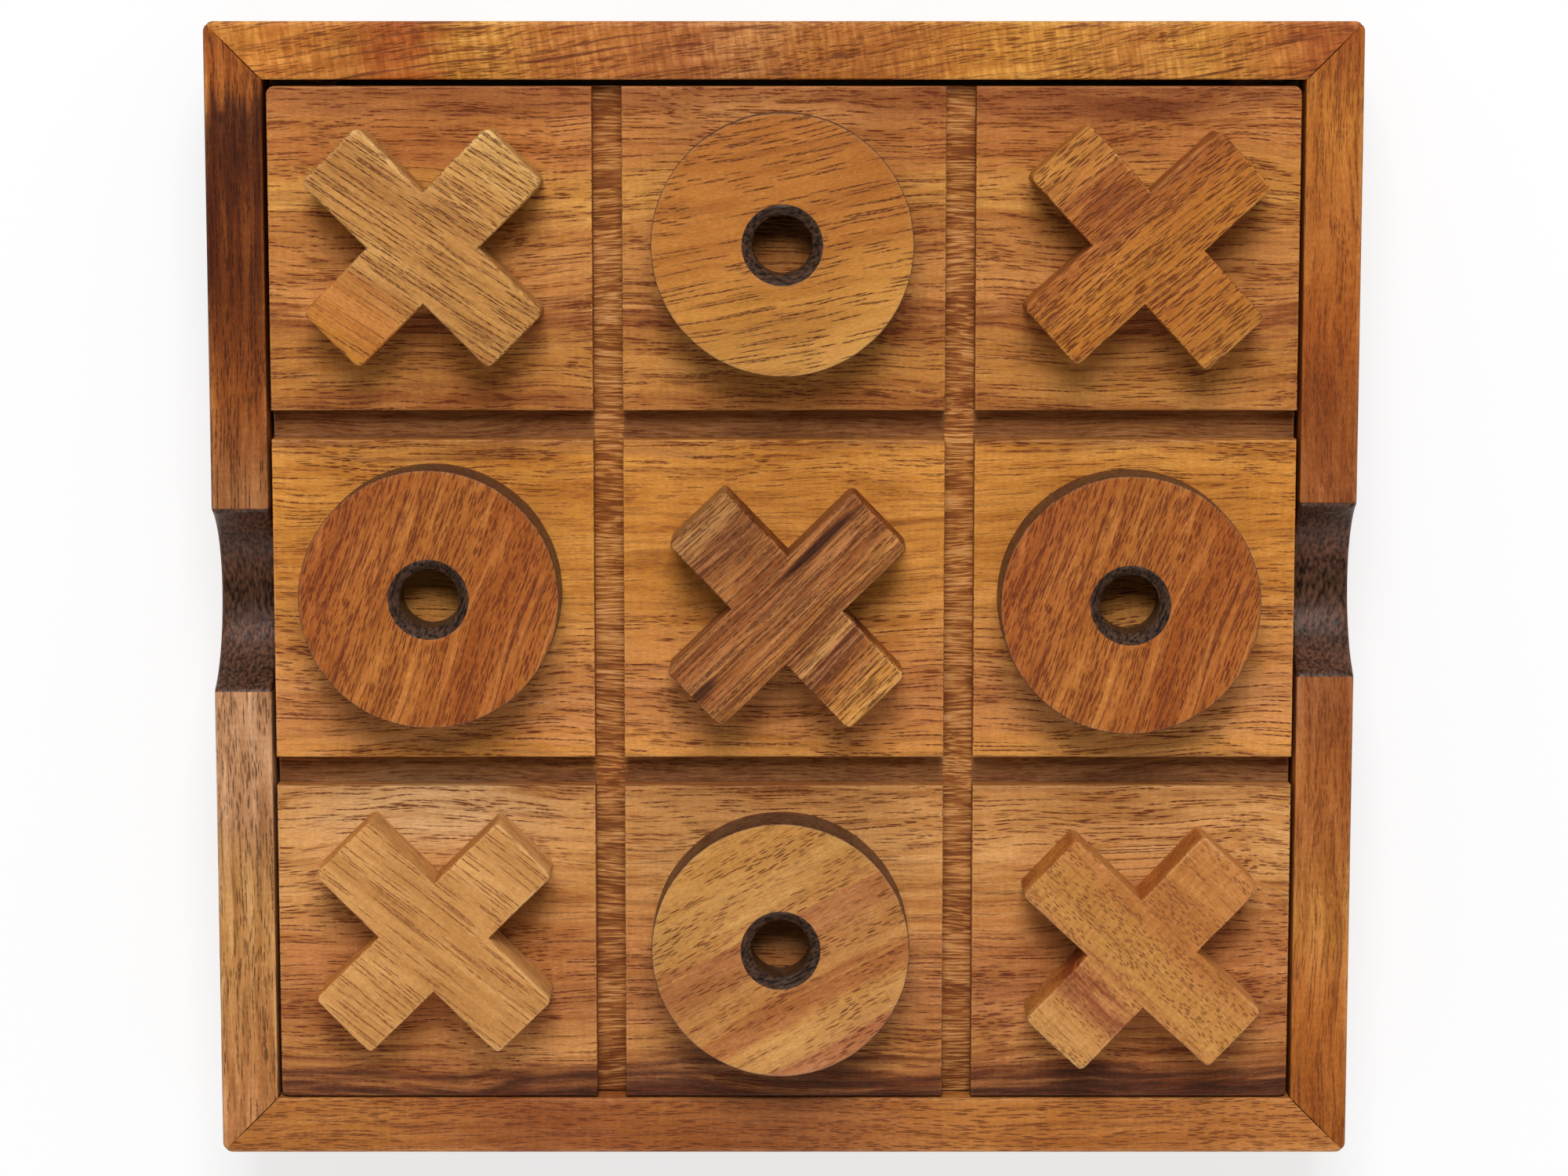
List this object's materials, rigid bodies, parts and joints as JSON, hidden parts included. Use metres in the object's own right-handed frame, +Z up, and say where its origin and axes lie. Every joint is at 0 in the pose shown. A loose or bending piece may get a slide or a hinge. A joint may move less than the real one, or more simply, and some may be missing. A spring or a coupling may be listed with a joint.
{
  "type": "tic-tac-toe board",
  "caption": "Square hardwood noughts and crosses game: mitred tray with finger scoops, a lift-out board of raised squares, and loose rings and crosses.",
  "frame": {"origin": "middle of the tray's underside, on the surface it stands on", "axes": "+Z up out of the playing board, +X towards the right rail, +Y towards the back rail"},
  "size_m": [0.2, 0.2, 0.0427],
  "materials": {
    "back_rail_wood": "oiled acacia, orange gold with a curly figure, satin",
    "front_rail_wood": "oiled acacia, tan orange with short dark pores, satin",
    "left_rail_wood": "oiled acacia, dark brown heartwood streaks over orange, satin",
    "right_rail_wood": "oiled acacia, red orange with dark streaks, satin",
    "board_wood": "oiled acacia plank, golden brown with darker bands, satin",
    "base_plywood": "sanded plywood, unfinished, matte",
    "block_wood": "planed hardwood, unfinished, matte",
    "tan_cross_wood": "oiled acacia, light tan with close dark lines, satin",
    "orange_cross_wood": "oiled acacia, orange brown, satin",
    "dark_cross_wood": "oiled acacia, dark red brown with near-black streaks, satin",
    "pale_cross_wood": "oiled acacia sapwood, pale gold with fine lines, satin",
    "golden_cross_wood": "oiled acacia, light gold with reddish edges, satin",
    "golden_ring_wood": "oiled acacia, gold with wavy lines, hole and rim scorched brown",
    "red_ring_wood": "oiled acacia, red brown with steep streaks, hole and rim scorched brown",
    "tan_ring_wood": "oiled acacia, tan with slanted bands, hole and rim scorched brown"
  },
  "bodies": {
    "tray": {"rail_back": "back_rail_wood", "rail_front": "front_rail_wood", "rail_left": "left_rail_wood", "rail_right": "right_rail_wood", "base_panel": "base_plywood", "block_back_left": "block_wood", "block_back_right": "block_wood", "block_front_left": "block_wood", "block_front_right": "block_wood"},
    "board": {"playing_board": "board_wood"},
    "cross_back_left": {"cross_back_left": "tan_cross_wood"},
    "cross_back_right": {"cross_back_right": "orange_cross_wood"},
    "cross_centre": {"cross_centre": "dark_cross_wood"},
    "cross_front_left": {"cross_front_left": "pale_cross_wood"},
    "cross_front_right": {"cross_front_right": "golden_cross_wood"},
    "ring_back": {"ring_back": "golden_ring_wood"},
    "ring_left": {"ring_left": "red_ring_wood"},
    "ring_right": {"ring_right": "red_ring_wood"},
    "ring_front": {"ring_front": "tan_ring_wood"}
  },
  "joints": [
    {"name": "board_lift", "type": "slide", "parent": "tray", "child": "board", "axis": [0, 0, 1], "range_m": [0, 0.06]},
    {"name": "cross_back_left_lift", "type": "slide", "parent": "board", "child": "cross_back_left", "axis": [0, 0, 1], "range_m": [0, 0.05]},
    {"name": "cross_back_right_lift", "type": "slide", "parent": "board", "child": "cross_back_right", "axis": [0, 0, 1], "range_m": [0, 0.05]},
    {"name": "cross_centre_lift", "type": "slide", "parent": "board", "child": "cross_centre", "axis": [0, 0, 1], "range_m": [0, 0.05]},
    {"name": "cross_front_left_lift", "type": "slide", "parent": "board", "child": "cross_front_left", "axis": [0, 0, 1], "range_m": [0, 0.05]},
    {"name": "cross_front_right_lift", "type": "slide", "parent": "board", "child": "cross_front_right", "axis": [0, 0, 1], "range_m": [0, 0.05]},
    {"name": "ring_back_lift", "type": "slide", "parent": "board", "child": "ring_back", "axis": [0, 0, 1], "range_m": [0, 0.05]},
    {"name": "ring_left_lift", "type": "slide", "parent": "board", "child": "ring_left", "axis": [0, 0, 1], "range_m": [0, 0.05]},
    {"name": "ring_right_lift", "type": "slide", "parent": "board", "child": "ring_right", "axis": [0, 0, 1], "range_m": [0, 0.05]},
    {"name": "ring_front_lift", "type": "slide", "parent": "board", "child": "ring_front", "axis": [0, 0, 1], "range_m": [0, 0.05]}
  ]
}
